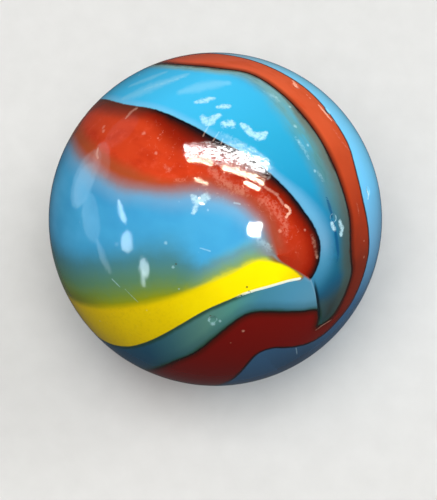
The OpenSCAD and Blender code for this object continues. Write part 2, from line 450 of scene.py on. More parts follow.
def seam_to_part():
    """The rotation from the seam's frame to the part's."""
    turn = Matrix.Rotation(math.radians(SEAM_BEARING), 3, "Z")
    tilt = Matrix.Rotation(math.radians(SEAM_TILT), 3, "Y")
    return np.array(turn @ tilt @ Matrix.Rotation(math.pi, 3, "Z"))


def from_picture(stroke):
    """A stroke laid out on the picture as rows of [x, y, z, half width in mm] in the seam's frame."""
    normals = np.array([sight(point[:2])[1][:] for point in stroke]) @ seam_to_part()
    widths = np.array([[point[2] * PIXEL] for point in stroke])
    return np.concatenate([normals, widths], 1)


def smooth_curve(points, steps=EDGE_STEPS):
    """A spline through rows of points, with steps to each span, in any number of dimensions."""
    p = np.asarray(points, float)
    p = np.concatenate([p[:1], p, p[-1:]])
    t = np.arange(steps)[:, None] / steps
    spans = []
    for a, b, c, d in zip(p, p[1:], p[2:], p[3:]):
        square, cube = 2 * a - 5 * b + 4 * c - d, 3 * b - 3 * c + d - a
        spans.append((2 * b + (c - a) * t + square * t**2 + cube * t**3) / 2)
    return np.concatenate([*spans, p[-1:-2:-1]])


def edge_curve(ribbon, side):
    """One edge of a ribbon as unit vectors in the seam's frame."""
    return unit(smooth_curve(on_ball([station[side] for station in ribbon])))


def distance_to(points, curve, block=6000):
    """How far each unit vector lies from a curve of them, in mm on the ball, and where along it."""
    a, b = curve[:-1], curve[1:]
    ab = b - a
    length2 = np.maximum((ab**2).sum(-1), TINY)
    far, along = np.empty(len(points)), np.empty(len(points))
    for i in range(0, len(points), block):
        p = points[i : i + block, None, :]
        t = np.clip(((p - a) * ab).sum(-1) / length2, 0, 1)
        gap = np.linalg.norm(p - (a + t[..., None] * ab), axis=-1)
        k = gap.argmin(1)
        rows = np.arange(len(k))
        far[i : i + block] = gap[rows, k]
        along[i : i + block] = k + t[rows, k]
    return far * BALL_R, along


def flat_map(v):
    """The ball unrolled round the near seam: distance from it by angle, direction kept."""
    far = np.arccos(np.clip(v[:, 2], -1, 1))
    turn = np.arctan2(v[:, 1], v[:, 0])
    return far * np.cos(turn), far * np.sin(turn)


def inside(points, outline):
    """Which unit vectors lie within a closed outline of them."""
    x, y = flat_map(points)
    ox, oy = flat_map(outline)
    found = np.zeros(len(points), bool)
    for x0, y0, x1, y1 in zip(ox, oy, np.roll(ox, -1), np.roll(oy, -1)):
        if y0 != y1:
            crosses = (y0 > y) != (y1 > y)
            found ^= crosses & (x < (x1 - x0) * (y - y0) / (y1 - y0) + x0)
    return found


def ribbon_fields(points, ribbon):
    """Four fields of a ribbon: depth inside it (minus outside), distances to its left and right
    edges, and the share of the way along it. Outside, a distance grows past the other edge, so
    that the shade beside an edge keeps to its own side."""
    left, right = edge_curve(ribbon, 0), edge_curve(ribbon, 1)
    to_left, _ = distance_to(points, left)
    to_right, along = distance_to(points, right)
    first_end, _ = distance_to(points, np.array([left[0], right[0]]))
    last_end, _ = distance_to(points, np.array([left[-1], right[-1]]))
    is_in = inside(points, np.concatenate([left, right[::-1]]))
    nearest = np.minimum(np.minimum(to_left, to_right), np.minimum(first_end, last_end))
    depth = np.where(is_in, nearest, -nearest)
    side = SIDE_STEEPNESS * (to_right - to_left) / (to_right + to_left + TINY)
    past_left = np.where(is_in, 0, np.clip(side, 0, 1)) * PAST_OTHER_EDGE
    past_right = np.where(is_in, 0, np.clip(-side, 0, 1)) * PAST_OTHER_EDGE
    return depth, to_left + past_right, to_right + past_left, along / (len(right) - 1)


def outer_stretch(along):
    """1 along the stretch of the long ribbon that has a blue strip outside it, 0 off its ends."""
    after_start = np.clip((along - OUTER_FROM) / OUTER_FADE, 0, 1)
    before_end = np.clip((OUTER_TO - along) / OUTER_FADE, 0, 1)
    return after_start * before_end


def stroke_field(points, strokes):
    """How deep each point lies in the nearest of some tapered strokes: 1 on its line, 0 on its rim
    and down to -1 off it."""
    best = np.full(len(points), -1.0)
    for stroke in strokes:
        line = smooth_curve(stroke)
        widest = line[:, 3].max() / BALL_R
        middle = unit(line[:, :3].mean(0))
        reach = (line[:, :3] @ middle).min()
        near = points @ middle > math.cos(math.acos(min(reach, 1)) + 2 * widest + STROKE_MARGIN)
        far, along = distance_to(points[near], unit(line[:, :3]))
        width = np.interp(along, np.arange(len(line)), np.maximum(line[:, 3], THINNEST_STROKE))
        best[near] = np.maximum(best[near], 1 - far / width)
    return best


def cube_sphere(n):
    """A cube's n x n grids pushed out to a unit sphere: points and quads."""
    line = np.tan(np.linspace(-1, 1, n + 1) * math.pi / 4)
    u, v = np.meshgrid(line, line, indexing="ij")
    one = np.ones_like(u)
    sides = [(u, v, one), (v, u, -one), (one, u, v), (-one, v, u), (v, one, u), (u, -one, v)]
    points = np.concatenate([unit(np.stack(s, -1).reshape(-1, 3)) for s in sides])
    cell = np.arange(n * n)
    corner = cell // n * (n + 1) + cell % n
    quad = np.stack([corner, corner + n + 1, corner + n + 2, corner + 1], 1)
    quads = np.concatenate([quad + k * (n + 1) ** 2 for k in range(6)])
    _, first, index = np.unique(np.round(points, 6), axis=0, return_index=True, return_inverse=True)
    return points[first], index.reshape(-1)[quads]


def crowd(points, centre, share):
    """Pulls unit vectors towards a centre, for a finer grid there."""
    across = points @ centre
    angle = np.arccos(np.clip(across, -1, 1))
    side = points - across[:, None] * centre
    side /= np.maximum(np.linalg.norm(side, axis=1, keepdims=True), TINY)
    pulled = (angle - share * np.sin(angle))[:, None]
    return unit(centre * np.cos(pulled) + side * np.sin(pulled))


def crease_depth(p):
    """Depth of the near seam's crease at points in its frame, in mm: it runs out at both ends."""
    turn, aside = math.radians(CREASE_TURN), math.radians(CREASE_ASIDE)
    x = p[:, 0] * math.cos(turn) + p[:, 1] * math.sin(turn)
    along = (x * math.cos(aside) - p[:, 2] * math.sin(aside)) * BALL_R
    across = (p[:, 1] * math.cos(turn) - p[:, 0] * math.sin(turn)) * BALL_R
    depth = CREASE_DEPTH * np.maximum(1 - (2 * along / CREASE_L) ** 2, 0)
    return np.where(p[:, 2] > 0, depth * np.exp(-((2 * across / CREASE_W) ** 2)), 0)


def both_creases(p):
    """The depth of both seams' creases; the far one mirrors the near one."""
    return np.maximum(crease_depth(p), crease_depth(p * np.array([1, 1, -1])))


def pit_depth(p):
    """The depth of the struck pits, in mm."""
    depth = np.zeros(len(p))
    for pit in PITS:
        gap = np.linalg.norm(p - on_ball(pit), axis=1) * BALL_R / (PIT_W / 2)
        depth = np.maximum(depth, PIT_DEPTH * np.clip(1 - gap**2, 0, 1))
    return depth


def near_marks(p):
    """Which points lie close to a crease, a pit or a fine mark."""
    half = math.degrees(CREASE_L / 2 / BALL_R)
    ends = on_ball([[CREASE_ASIDE + half, CREASE_TURN], [CREASE_ASIDE - half, CREASE_TURN]])
    close = np.zeros(len(p), bool)
    for mirror in ([1, 1, 1], [1, 1, -1]):
        close |= distance_to(p, ends * mirror)[0] < CREASE_W + FINE_MARGIN
    spots = [[*on_ball(pit), PIT_W / 2] for pit in PITS]
    spots += [from_picture([mark])[0] for mark in FLECKS + SPECKS]
    for spot in spots:
        gap = np.linalg.norm(p - spot[:3], axis=1) * BALL_R
        close |= gap < spot[3] + FINE_MARGIN
    for stroke in CHIPS_AND_GLINTS + SCUFFS_AND_GLINTS + SCRATCHES:
        line = from_picture(stroke)
        reach = line[:, 3].max() + FINE_MARGIN
        close |= distance_to(p, unit(line[:, :3]))[0] < reach
    return close


def refine(points, quads):
    """Cuts the cells near the marks finer and gives the new points and polygons."""
    mesh = bpy.data.meshes.new("refining")
    mesh.from_pydata(points.tolist(), [], quads.tolist())
    cells = bmesh.new()
    cells.from_mesh(mesh)
    close = near_marks(points)
    chosen = [f for f in cells.faces if any(close[v.index] for v in f.verts)]
    edges = list({e for f in chosen for e in f.edges})
    bmesh.ops.subdivide_edges(cells, edges=edges, cuts=FINE_CUTS, use_grid_fill=True)
    cells.verts.index_update()
    new_points = unit(np.array([v.co[:] for v in cells.verts]))
    polygons = [[v.index for v in f.verts] for f in cells.faces]
    cells.free()
    bpy.data.meshes.remove(mesh)
    return new_points, polygons


def add_field(mesh, name, values):
    """Keeps one number per point on the mesh, for the material to read."""
    field = mesh.attributes.new(name, "FLOAT", "POINT")
    field.data.foreach_set("value", np.asarray(values, np.float32))


def add_ribbon_fields(mesh, points):
    """The fields of each ribbon, and how near each point lies to an edge of any."""
    nearest = np.full(len(points), np.inf)
    for name, ribbon in RIBBONS.items():
        depth, left, right, along = ribbon_fields(points, ribbon)
        for part, values in zip(RIBBON_PARTS, (depth, left, right, along)):
            add_field(mesh, name + part, values)
        nearest = np.minimum(nearest, np.abs(depth))
        if name == "long":
            add_field(mesh, "outer_stretch", outer_stretch(along))
    add_field(mesh, "nearest_edge", nearest)


def add_seam_fields(mesh, points):
    """Degrees from the near seam, mm across its parting line, and mm below the wide tip along it."""
    turn = math.radians(PARTING_TURN)
    along = points[:, 0] * math.cos(turn) + points[:, 1] * math.sin(turn)
    across = points[:, 1] * math.cos(turn) - points[:, 0] * math.sin(turn)
    add_field(mesh, "from_seam", np.degrees(np.arccos(np.clip(points[:, 2], -1, 1))))
    add_field(mesh, "across_seam", across * BALL_R)
    add_field(mesh, "below_tip", WIDE_TIP - along * BALL_R)


def make_ball():
    """The ball's skin with its creases and pits, and all the fields that its glass reads."""
    points, quads = cube_sphere(GRID)
    points = crowd(points, on_ball(CROWD_AT), CROWDING)
    points, polygons = refine(points, quads)
    crease, pit = both_creases(points), pit_depth(points)
    outward = points @ seam_to_part().T
    place = outward * (BALL_R - np.maximum(crease, pit))[:, None] * MM
    mesh = bpy.data.meshes.new("marble_ball")
    mesh.from_pydata(place.tolist(), [], polygons)
    mesh.shade_smooth()
    add_ribbon_fields(mesh, points)
    add_seam_fields(mesh, points)
    add_field(mesh, "crease", crease / CREASE_DEPTH)
    add_field(mesh, "pit", pit / PIT_DEPTH)
    away_from_camera = np.array(camera_axes()[3])
    add_field(mesh, "plain_side", outward @ away_from_camera)
    for name, strokes in WEAR_AND_HIGHLIGHT_STROKES.items():
        add_field(mesh, name, stroke_field(points, [from_picture(s) for s in strokes]))
    ball = bpy.data.objects.new("marble_ball", mesh)
    bpy.context.scene.collection.objects.link(ball)
    return ball


def rgb(code):
    """A linear colour from a hex code written in sRGB."""
    parts = [int(code[i : i + 2], 16) / 255 for i in (1, 3, 5)]
    linear = [c / 12.92 if c <= 0.04045 else ((c + 0.055) / 1.055) ** 2.4 for c in parts]
    return (*linear, 1.0)


class Graph:
    """Short names for the nodes of one material."""

    def __init__(self, name):
        self.material = bpy.data.materials.new(name)
        self.material.use_nodes = True
        self.nodes = self.material.node_tree.nodes
        self.links = self.material.node_tree.links
        self.nodes.clear()
        self.output = self.nodes.new("ShaderNodeOutputMaterial")

    def put(self, socket, value):
        """Links a socket to another or sets it to a constant."""
        if isinstance(value, bpy.types.NodeSocket):
            self.links.new(value, socket)
        else:
            socket.default_value = rgb(value) if isinstance(value, str) else value

    def node(self, kind, inputs=None, **settings):
        """A node with its settings, and its inputs by name or number."""
        made = self.nodes.new(kind)
        for key, value in settings.items():
            setattr(made, key, value)
        for key, value in (inputs or {}).items():
            self.put(made.inputs[key], value)
        return made

    def field(self, name):
        """A field that the mesh keeps."""
        return self.node("ShaderNodeAttribute", attribute_name=name).outputs["Fac"]

    def math(self, operation, *values):
        inputs = dict(enumerate(values))
        return self.node("ShaderNodeMath", inputs, operation=operation).outputs[0]

    def times(self, *values):
        """All of the values multiplied."""
        total = values[0]
        for value in values[1:]:
            total = self.math("MULTIPLY", total, value)
        return total

    def minus(self, a, b):
        return self.math("SUBTRACT", a, b)

    def plus(self, a, b, share=1.0):
        """a plus a share of b."""
        return self.math("MULTIPLY_ADD", b, share, a)

    def fade(self, x, start, end):
        """0 where x is at start and 1 where it is at end, smoothly; start may be above end."""
        inputs = {"Value": x, "From Min": start, "From Max": end}
        made = self.node("ShaderNodeMapRange", inputs, interpolation_type="SMOOTHSTEP")
        return made.outputs["Result"]

    def mix(self, share, a, b):
        """Colour a with that share of colour b over it."""
        inputs = {"Factor": share, 6: a, 7: b}
        return self.node("ShaderNodeMix", inputs, data_type="RGBA", clamp_factor=True).outputs[2]

    def blend(self, share, a, b):
        """The same for numbers."""
        inputs = {"Factor": share, 2: a, 3: b}
        return self.node("ShaderNodeMix", inputs, data_type="FLOAT", clamp_factor=True).outputs[0]

    def ramp(self, x, stops):
        """A colour for x, from stops of x: colour."""
        last = max(stops)
        made = self.node("ShaderNodeValToRGB", {"Fac": self.math("DIVIDE", x, last)})
        elements = made.color_ramp.elements
        while len(elements) < len(stops):
            elements.new(1)
        for element, (at, colour) in zip(elements, stops.items()):
            element.position = at / last
            element.color = rgb(colour)
        return made.outputs["Color"]

    def noise(self, vector, scale, detail=2.0, rough=0.5, w=None):
        """Noise from 0 to 1; with w it has a fourth coordinate."""
        inputs = {"Vector": vector, "Scale": scale, "Detail": detail, "Roughness": rough}
        if w is None:
            return self.node("ShaderNodeTexNoise", inputs).outputs["Fac"]
        inputs["W"] = w
        return self.node("ShaderNodeTexNoise", inputs, noise_dimensions="4D").outputs["Fac"]


# The layers of the glass, from the ground up. A fade's two numbers are where it starts and ends,
# in the unit of what it reads: degrees for from_seam, shares of a ribbon's length for its along,
# and mm for its depth and the distances to its edges.


def swirl_fields(g):
    """The fields that the glass reads, with noise to loosen its edges."""
    place = g.node("ShaderNodeTexCoord").outputs["Object"]
    at = g.node("ShaderNodeVectorMath", {0: place, "Scale": 1 / MM}, operation="SCALE").outputs[0]
    names = ("nearest_edge", "from_seam", "across_seam", "below_tip", "plain_side")
    names += tuple(name + part for name in RIBBONS for part in RIBBON_PARTS)
    f = SimpleNamespace(**{name: g.field(name) for name in names})
    f.at = at
    f.fine = g.minus(g.noise(at, 3.5, 3, 0.6), 0.5)
    f.broad = g.minus(g.noise(at, 0.7, 2, 0.5), 0.5)
    f.grain = g.noise(at, 6, 3, 0.65)
    f.stream = g.noise(at, 0.25, 3, 0.55, w=g.times(f.nearest_edge, 1.1))
    f.wobble = g.plus(g.times(f.broad, 0.25), f.fine, 0.12)
    # The soft side of a ribbon is nearer its soft edge than its crisp one
    f.wide_soft = g.fade(g.minus(f.wide_right, f.wide_left), -0.4, 0.4)
    f.yellow_soft = g.fade(g.minus(f.yellow_right, f.yellow_left), 0.3, -0.3)
    f.loose = loose_depth(g, f)
    near = g.fade(f.from_seam, 30, 22)
    f.past_crease = g.blend(near, 1.0, g.fade(f.across_seam, 0.02, -0.02))
    f.before_crease = g.blend(near, 1.0, g.fade(f.across_seam, -0.02, 0.02))
    return f


def loose_depth(g, f):
    """The depth inside the wide ribbon, loosened for its soft side. Near the tip it stays crisp."""
    along = f.wide_along
    give = g.blend(g.fade(along, 0.1, 0.34), 0.14, 1.0)
    loose = g.math("DIVIDE", g.plus(f.wide, g.times(f.wobble, give)), give)
    narrowed = g.plus(loose, g.fade(along, 0.5, 0.58), -0.22)
    return g.plus(narrowed, g.fade(along, 0.6, 0.69), 0.38)


def blue_glass(g, f):
    """The blue ground, deeper and paler in streams, with wisps on the plain side."""
    colour = g.ramp(f.stream, GROUND_BLUES)
    plain = g.fade(f.plain_side, -0.1, 0.5)
    wisps = g.noise(f.at, 0.3, 4, 0.6, w=g.times(f.nearest_edge, 2.2))
    colour = g.mix(g.times(plain, g.fade(wisps, 0.55, 0.75), WISP_STRENGTH), colour, PALE_WISP)
    return g.mix(g.times(plain, g.fade(wisps, 0.45, 0.25), WISP_STRENGTH), colour, DEEP_WISP)


def lane_right_of_wide_red(g, f, colour):
    """The bright lane on the wide ribbon's right, with a pale strip along the ribbon."""
    seam, right = f.from_seam, f.wide_right
    right_side = g.blend(g.fade(seam, 16, 11), g.minus(1.0, f.wide_soft), 1.0)
    this_side = g.times(f.past_crease, right_side)
    lane = g.times(g.fade(right, 4.8, 3.2), g.fade(f.long_left, 7, 5), this_side)
    colour = g.mix(lane, colour, g.ramp(seam, BRIGHT_LANE))
    dark_stream = g.fade(g.plus(f.stream, f.fine, 0.25), 0.5, 0.36)
    dark_stream = g.times(lane, dark_stream, g.fade(seam, 80, 40), 0.45)
    colour = g.mix(dark_stream, colour, LANE_STREAM)
    low_in_lane = g.times(lane, g.fade(f.below_tip, 0.4, 1.0), g.fade(seam, 30, 20))
    colour = g.mix(low_in_lane, colour, g.ramp(f.below_tip, LANE_END))
    wider_by_tip = g.blend(g.fade(seam, 52, 32), 0.32, 0.75)
    wider_at_seam = g.blend(g.fade(seam, 24, 12), 1.0, 1.3)
    width = g.times(wider_by_tip, wider_at_seam)
    strip = g.fade(g.math("DIVIDE", g.plus(right, f.wobble, 0.5), width), 1.4, 0.2)
    strip = g.times(strip, g.blend(g.fade(seam, 72, 50), 0.55, 1.0))
    return g.mix(g.times(strip, this_side, 0.9), colour, g.ramp(seam, PALE_STRIP))


def shade_above_yellow(g, f, colour):
    """Olive, green and teal, where the yellow ribbon thins out over the blue."""
    seam = f.from_seam
    reach = g.plus(0.16, g.times(g.fade(seam, 34, 68), g.fade(seam, 28, 60)), 0.84)
    reach = g.math("MAXIMUM", reach, 0.36)
    outward = g.minus(YELLOW_THINNED / 2, f.yellow)
    far = g.math("DIVIDE", g.plus(outward, f.wobble, 1.4), reach)
    green = g.mix(g.fade(seam, 52, 40), g.ramp(far, GREENS), g.ramp(far, PALE_GREENS))
    dark_end = g.times(g.fade(seam, 72, 92), g.fade(far, 0.9, 0.1), 0.5)
    green = g.mix(dark_end, green, DARK_OLIVE)
    this_side = g.times(f.before_crease, g.fade(seam, 13, 17), f.yellow_soft)
    return g.mix(g.times(g.fade(far, 3.6, 1.9), this_side), colour, green)


def lane_below_yellow(g, f, colour):
    """A teal lane below the yellow ribbon, with a dark green rim along the ribbon."""
    seam = f.from_seam
    lower = g.times(g.minus(1.0, f.yellow_soft), g.fade(f.yellow_left, 3.4, 2.4))
    lower = g.blend(g.fade(seam, 20, 15), lower, 1.0)
    below = g.times(lower, g.fade(f.long_left, 3.8, 2.8), f.before_crease)
    past_far_seam = g.fade(f.across_seam, -0.45, -0.05)
    this_side = g.blend(g.fade(seam, 140, 152), 1.0, past_far_seam)
    at_end = g.times(g.fade(f.below_tip, 2.2, 2.5), g.fade(seam, 20, 12))
    teal = g.mix(at_end, g.ramp(seam, TEAL_LANE), TEAL_LANE_END)
    colour = g.mix(g.times(below, this_side), colour, teal)
    rim = g.fade(g.plus(f.yellow_left, f.fine, 0.1), 0.28, 0.06)
    return g.mix(g.times(rim, g.fade(seam, 24, 34), 0.85), colour, DARK_GREEN)


def streaky_smoke(g, f):
    """The colour of the smoke beside the long ribbon's upper part: teal, streaked blue and green."""
    seam, left = f.from_seam, f.long_left
    streaks = g.noise(f.at, 0.5, 4, 0.65, w=g.times(left, 4.0))
    blue = g.times(g.fade(streaks, 0.45, 0.65), g.fade(seam, 40, 60), g.fade(left, 0.3, 0.75), 0.5)
    teal = g.mix(blue, g.ramp(seam, SMOKE_TEALS), SMOKE_BLUE)
    green = g.times(g.fade(streaks, 0.5, 0.3), 0.5)
    teal = g.mix(green, teal, SMOKE_GREEN)
    at_end = g.times(g.fade(f.below_tip, 1.5, 2.3), g.fade(seam, 24, 14))
    return g.mix(at_end, teal, SMOKE_END)


def smoke_left_of_long_red(g, f, colour):
    """Smoke on the long ribbon's inner side, grey and then dusky towards the ribbon."""
    seam, along = f.from_seam, f.long_along
    upper = g.fade(along, 0.5, 0.56)
    inner = g.plus(f.long_left, f.wobble, g.blend(g.fade(along, 0.55, 0.62), 0.6, 1.6))
    wide_stretch = g.blend(g.fade(seam, 38, 24), 1.55, 1.0)
    at_seam = g.blend(g.fade(seam, 16, 6), 1.0, 0.6)
    by_seam = g.times(wide_stretch, at_seam)
    reach = g.blend(upper, 0.6, g.blend(g.fade(seam, 98, 58), 0.6, by_seam))
    smoke = g.fade(g.math("DIVIDE", inner, reach), 1.25, 0.45)
    teal = g.mix(upper, LOWER_SMOKE, streaky_smoke(g, f))
    colour = g.mix(g.times(smoke, g.blend(upper, 0.45, 0.85)), colour, teal)
    grey_reach = g.blend(g.fade(seam, 80, 55), 0.25, 0.9)
    grey = g.times(g.fade(inner, grey_reach, 0.2), upper, 0.82)
    colour = g.mix(grey, colour, g.ramp(seam, SMOKE_GREYS))
    dusk = g.fade(inner, g.blend(upper, 0.33, 0.17), 0.01)
    return g.mix(g.times(dusk, 0.92), colour, g.mix(upper, DARK_GREEN, DUSK_BROWN))


def strip_right_of_long_red(g, f, colour):
    """A strip of its own blue on the long ribbon's outer side, darkened by painted shade along its
    lower part, and a dark line between them.
    """
    right = f.long_right
    outer = g.times(g.fade(right, 5.5, 2.8), g.field("outer_stretch"))
    # The strip's darker stops paint the shade on the ball's lower side
    colour = g.mix(outer, colour, g.ramp(f.long_along, OUTER_STRIP_AND_SHADE))
    line = g.fade(right, 0.13, 0.02)
    return g.mix(g.times(line, 0.8), colour, OUTER_LINE)


def yellow_glass(g, f, colour):
    """The yellow ribbon: crisp on its left edge, soft on its right one."""
    seam = f.from_seam
    softness = g.times(f.yellow_soft, g.blend(g.fade(seam, 30, 60), 0.05, 0.17))
    depth = g.plus(f.yellow, f.wobble, g.blend(f.yellow_soft, 0.12, 0.4))
    depth = g.plus(depth, g.times(f.yellow_soft, g.fade(seam, 26, 38)), -YELLOW_THINNED)
    start = g.minus(-0.03, softness)
    mask = g.fade(depth, start, g.plus(0.04, softness, 0.8))
    along = g.plus(f.yellow_along, f.broad, 0.08)
    brown = g.times(g.fade(f.grain, 0.45, 0.75), g.fade(along, 0.35, 0.6), 0.22)
    # This deeper yellow paints the shade on the ball's lower left
    lemon = g.mix(brown, g.ramp(along, LEMONS_AND_SHADE), LEMON_GRAIN)
    olive = g.times(g.fade(f.yellow_right, 0.4, 0.05), g.fade(seam, 32, 60), 0.45)
    lemon = g.mix(olive, lemon, LEMON_OLIVE)
    near_both = g.times(g.fade(f.wide, -0.45, -0.12), g.fade(f.yellow, -0.45, -0.12))
    joint = g.times(near_both, g.fade(seam, 14.5, 16), 0.9)
    colour = g.mix(joint, colour, JOINT_BROWN)
    return g.mix(mask, colour, lemon)


def highlight_line_by_yellow(g, f, colour):
    """A painted highlight: a pale broken line along the yellow ribbon's left edge, close to the near
    seam.
    """
    beside = g.math("ABSOLUTE", g.minus(f.yellow_left, 0.02))
    highlight_line = g.fade(g.plus(beside, f.fine, 0.03), 0.055, 0.03)
    near = g.fade(f.from_seam, 33, 29)
    broken = g.fade(g.plus(f.grain, g.fade(f.from_seam, 30, 20), 0.3), 0.4, 0.48)
    return g.mix(g.times(highlight_line, near, broken, 0.9), colour, YELLOW_EDGE_HIGHLIGHT)


def long_red_glass(g, f, colour):
    """The long red ribbon: bright on top, maroon round the seam and below it; the maroon is partly
    deeper glass and partly painted shade.
    """
    depth = g.plus(f.long, f.fine, 0.08)
    along, left = f.long_along, f.long_left
    # Maroon along the lower part: partly deeper glass, partly painted shade
    red = g.ramp(g.plus(along, f.broad, 0.04), LONG_REDS_AND_SHADE)
    flow = g.noise(f.at, 0.4, 3, 0.6, w=g.times(left, 2.4))
    bright_flow = g.times(g.fade(flow, 0.52, 0.7), g.fade(along, 0.6, 0.7), 0.4)
    red = g.mix(bright_flow, red, LONG_FLOW)
    red = g.mix(g.times(g.fade(left, 0.4, 0.06), 0.7), red, LONG_EDGE)
    colour = g.mix(g.fade(depth, -0.14, -0.03), colour, LONG_OUTLINE)
    return g.mix(g.fade(depth, -0.05, 0.12), colour, red)


def smoke_left_of_wide_red(g, f, colour):
    """Smoke, a veil and a brown halo off the wide ribbon's soft side."""
    seam, soft, loose = f.from_seam, f.wide_soft, f.loose
    near_tip = g.fade(seam, 44, 30)
    smoky = g.times(g.fade(f.wide, -1.05, -0.2), near_tip, g.fade(seam, 22, 27), soft, 0.9)
    smoky = g.times(smoky, g.fade(f.yellow, -0.06, -0.3))
    colour = g.mix(smoky, colour, WIDE_SMOKE)
    off_yellow = g.fade(f.yellow, -0.02, -0.18)
    veil = g.times(g.fade(loose, -1.25, -0.2), soft, g.blend(near_tip, 0.55, 0.3), off_yellow)
    colour = g.mix(veil, colour, WIDE_VEIL)
    halo = g.times(g.fade(loose, -0.55, 0.05), soft, g.blend(near_tip, 0.75, 0.6), off_yellow)
    return g.mix(halo, colour, g.mix(near_tip, WIDE_HALO, TIP_HALO))


def wide_red_glass(g, f, colour):
    """The wide red ribbon: soft on its left edge, black and smoky along its right one."""
    left, right, along, seam = f.wide_left, f.wide_right, f.wide_along, f.from_seam
    crisp = g.fade(g.plus(f.wide, f.fine, 0.08), -0.03, 0.05)
    mask = g.blend(f.wide_soft, crisp, g.fade(f.loose, -0.25, 0.45))
    flow = g.noise(f.at, 0.35, 3, 0.6, w=g.times(right, 1.6))
    red = g.mix(g.times(g.fade(flow, 0.5, 0.3), 0.5), g.ramp(along, WIDE_REDS), WIDE_FLOW)
    mottle = g.noise(f.at, 2.6, 4, 0.65)
    red = g.mix(g.times(g.fade(mottle, 0.5, 0.75), 0.35), red, WIDE_MOTTLE)
    brim = g.times(g.fade(g.plus(left, f.wobble), 1.0, 0.35), g.fade(along, 0.12, 0.25), 0.8)
    red = g.mix(brim, red, g.mix(g.fade(seam, 60, 80), NEAR_BRIM, FAR_BRIM))
    thicker_near = g.blend(g.fade(seam, 95, 76), 0.45, 0.9)
    thinner_at_tip = g.blend(g.fade(seam, 58, 42), 1.0, 0.6)
    thick = g.times(thicker_near, thinner_at_tip)
    smoke = g.math("DIVIDE", g.plus(right, f.wobble, 0.8), thick)
    dark = g.mix(g.times(g.fade(seam, 92, 106), 0.45), g.ramp(smoke, DARK_EDGE), FAR_EDGE)
    return g.mix(mask, colour, g.mix(g.fade(smoke, 2.4, 0.9), red, dark))


def streams_and_creases(g, f, colour):
    """Pale and deep streams in the blue, a painted highlight along the near crease's lip, and painted
    shade in the creases.
    """
    fine, long_red, wide_red = f.fine, f.long, f.wide
    outside = g.times(g.fade(wide_red, 0, -0.05), g.fade(long_red, -0.1, -0.3), f.past_crease)
    wisps = g.times(g.fade(g.plus(g.field("pale"), fine, 1.2), -0.9, 0.8), 0.4)
    colour = g.mix(g.times(wisps, outside), colour, PALE_STREAM)
    streams = g.times(g.fade(g.plus(g.field("deep"), fine, 0.5), -0.2, 0.7), 0.75)
    colour = g.mix(g.times(streams, outside), colour, DEEP_STREAM)
    # A painted highlight along the lip of the near crease
    beside = g.fade(f.across_seam, 0.1, 0.04)
    lip_highlight = g.times(g.fade(f.from_seam, 16, 12), beside, f.before_crease)
    off_reds = g.times(g.fade(long_red, 0.02, -0.06), g.fade(wide_red, -0.02, -0.08))
    lip_highlight = g.times(lip_highlight, off_reds, g.fade(f.wide_left, 2.3, 1.8), 0.18)
    colour = g.mix(lip_highlight, colour, CREASE_LIP_HIGHLIGHT)
    # Painted shade darkens the creases' grooves
    crease = g.times(g.fade(g.field("crease"), 0.1, 0.7), 0.85)
    return g.mix(crease, colour, CREASE_SHADE)


def stroke_mark(g, name, ragged, torn, start, full):
    """How strongly a stroke of wear shows at each place, its rim torn by ragged noise."""
    return g.fade(g.plus(g.field(name), ragged, torn), start, full)


def wear_and_highlight_marks(g, f):
    """Each kind of wear, with the highlights painted among the chips and scuffs, as its strength at
    each place.
    """
    ragged = g.minus(g.noise(f.at, 5, 4, 0.7), 0.5)
    crumbs = g.fade(g.noise(f.at, 7, 3, 0.6), 0.34, 0.56)
    # Scuffs, and small highlights painted as scuffs
    scuff_and_glint = g.times(stroke_mark(g, "scuff_and_glint", ragged, 2.0, -0.05, 0.7), g.blend(crumbs, 0.36, 0.68))
    # Bright chips, most of them painted highlights
    chip_and_glint = g.times(stroke_mark(g, "chip_and_glint", ragged, 2.6, -0.1, 0.6), g.blend(crumbs, 0.6, 0.9))
    haze = g.times(stroke_mark(g, "haze", ragged, 2.2, 0.1, 1.0), crumbs, 0.22)
    scratch = g.times(stroke_mark(g, "scratch", ragged, 2.0, -0.2, 0.8), 0.34)
    fleck = g.times(stroke_mark(g, "fleck", ragged, 2.0, -0.2, 0.8), 0.36)
    hairs = g.math("ABSOLUTE", g.minus(g.noise(f.at, 2.4, 3, 0.6), 0.5))
    broken = g.fade(g.noise(f.at, 3.1, 2, 0.5), 0.5, 0.6)
    crazed = g.fade(g.field("crazed"), -0.2, 0.5)
    hairs = g.times(g.fade(hairs, 0.012, 0.003), broken, crazed, 0.22)
    dots = g.node("ShaderNodeTexVoronoi", {"Vector": f.at, "Scale": 1.3})
    chosen = g.node("ShaderNodeSeparateColor", {0: dots.outputs["Color"]}).outputs[0]
    dust = g.fade(g.plus(dots.outputs["Distance"], ragged, 0.1), 0.08, 0.01)
    dust = g.times(dust, g.fade(chosen, 0.8, 0.9), 0.16)
    pit = g.field("pit")
    ring = g.times(g.fade(pit, 0.02, 0.2), g.fade(pit, 0.6, 0.3), g.fade(f.grain, 0.4, 0.6), 0.35)
    return scuff_and_glint, chip_and_glint, haze, scratch, fleck, hairs, dust, ring


